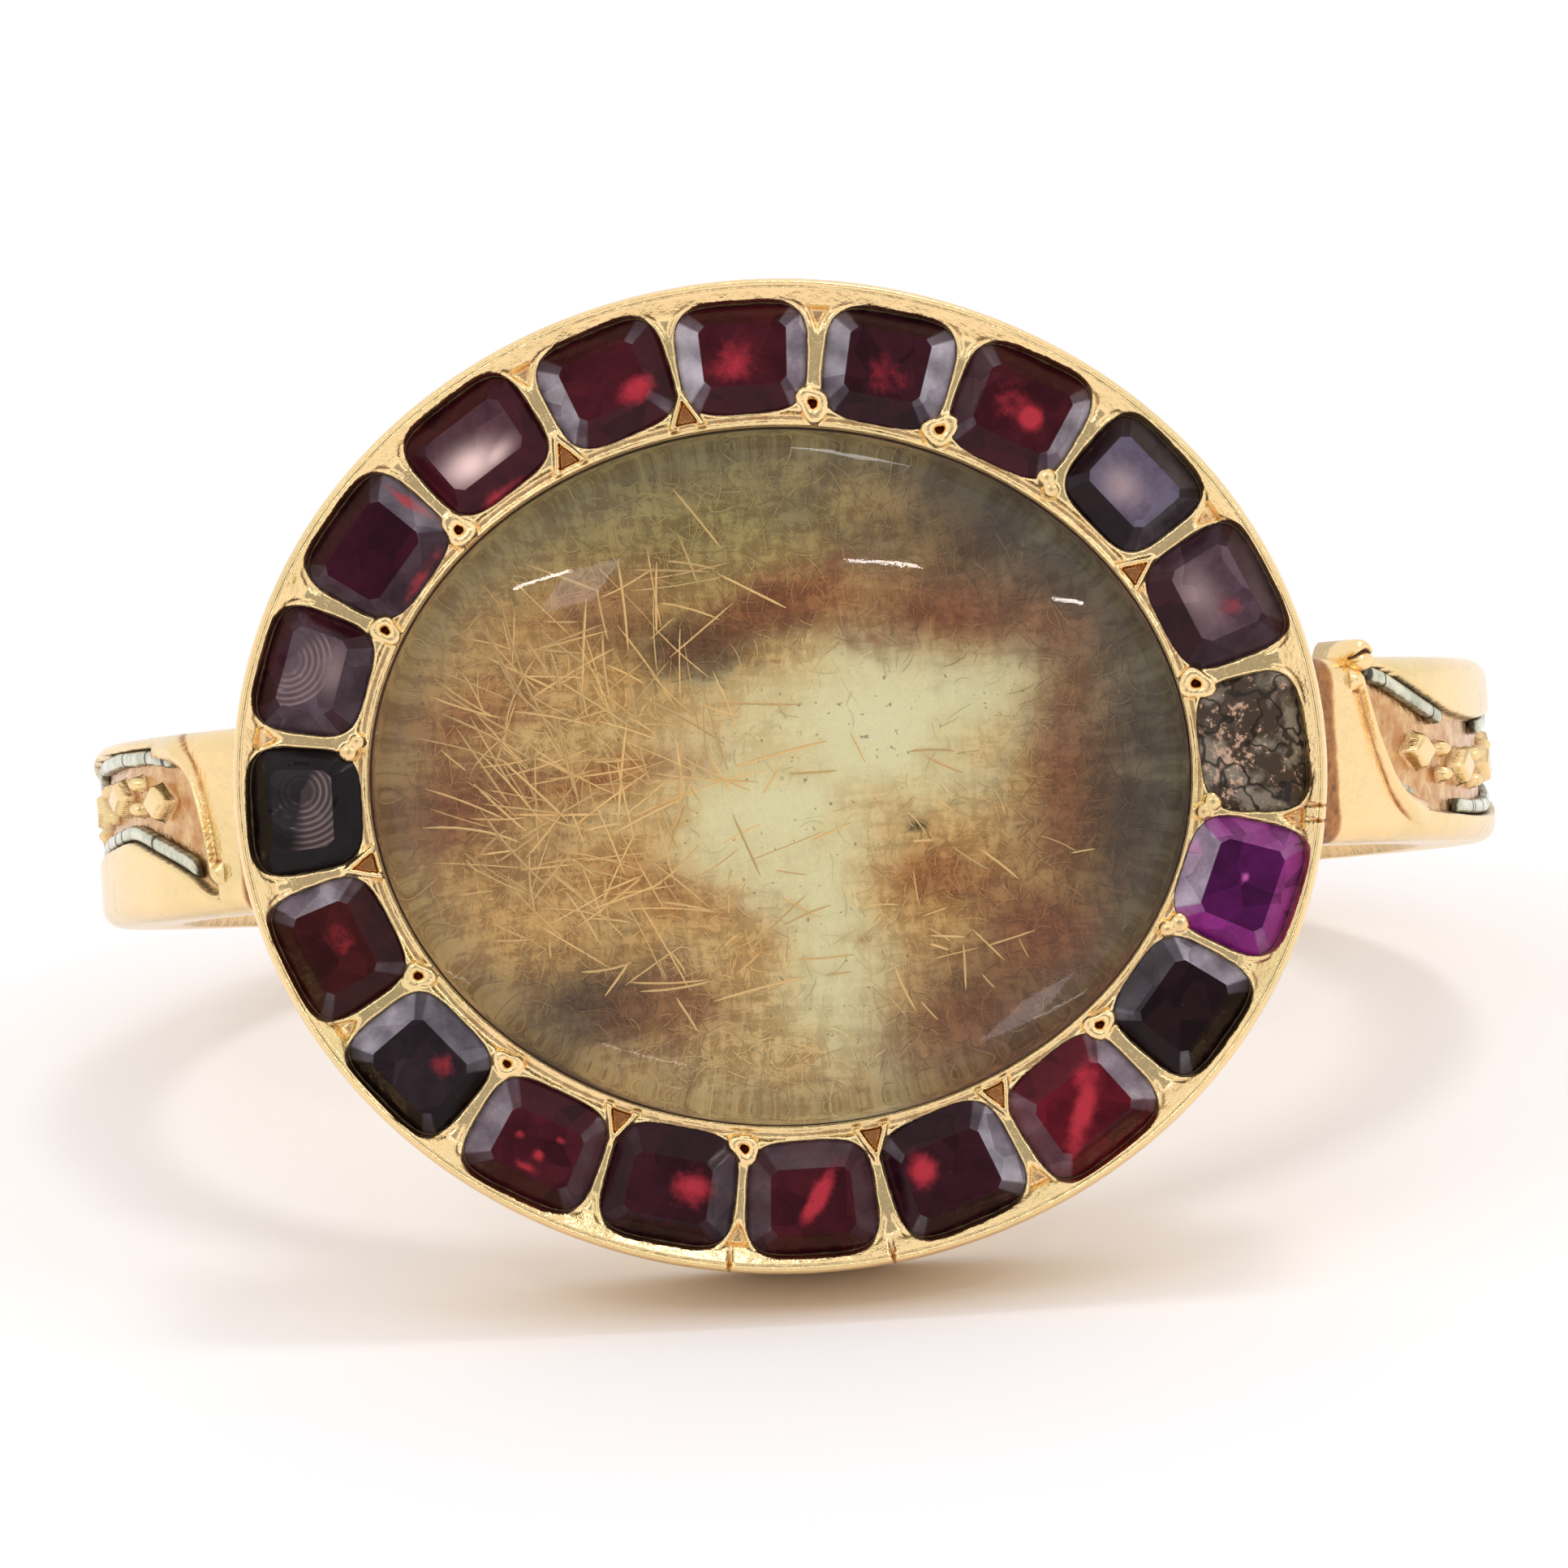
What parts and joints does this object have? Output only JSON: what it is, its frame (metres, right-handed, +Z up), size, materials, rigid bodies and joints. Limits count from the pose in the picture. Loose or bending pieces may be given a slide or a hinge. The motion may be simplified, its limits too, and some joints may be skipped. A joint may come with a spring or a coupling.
{
  "type": "mourning ring",
  "caption": "Gold memorial finger ring: oval head with table-cut red stones around a domed crystal over cut hair, on a hoop with sunk scrolled ribbons.",
  "frame": {"origin": "middle of the ring's box on the surface that it lies on", "axes": "+Z up from the surface, -Y the way the head faces, +X to the right of someone who looks at the head"},
  "size_m": [0.02, 0.0234, 0.0138],
  "materials": {
    "gold": "old polished gold, worn, coppery in the recesses",
    "garnet": "table-cut garnet over foil, dark plum with red lights",
    "paste": "colourless paste over crinkled foil",
    "purple_stone": "purple replacement stone",
    "crystal": "domed polished crystal",
    "ground": "pale cream-green ground with stains",
    "enamel": "worn pale enamel, cracked",
    "hair": "cut hair, straw to auburn"
  },
  "bodies": {
    "root": {"gold_ring": "gold", "stone_01": "garnet", "stone_02": "garnet", "stone_03": "garnet", "stone_04": "garnet", "stone_05": "garnet", "stone_06": "paste", "stone_07": "purple_stone", "stone_08": "garnet", "stone_09": "garnet", "stone_10": "garnet", "stone_11": "garnet", "stone_12": "garnet", "stone_13": "garnet", "stone_14": "garnet", "stone_15": "garnet", "stone_16": "garnet", "stone_17": "garnet", "stone_18": "garnet", "stone_19": "garnet", "stone_20": "garnet", "crystal": "crystal", "hair_ground": "ground", "enamel_right": "enamel", "enamel_back": "enamel", "enamel_left": "enamel"}
  },
  "joints": []
}
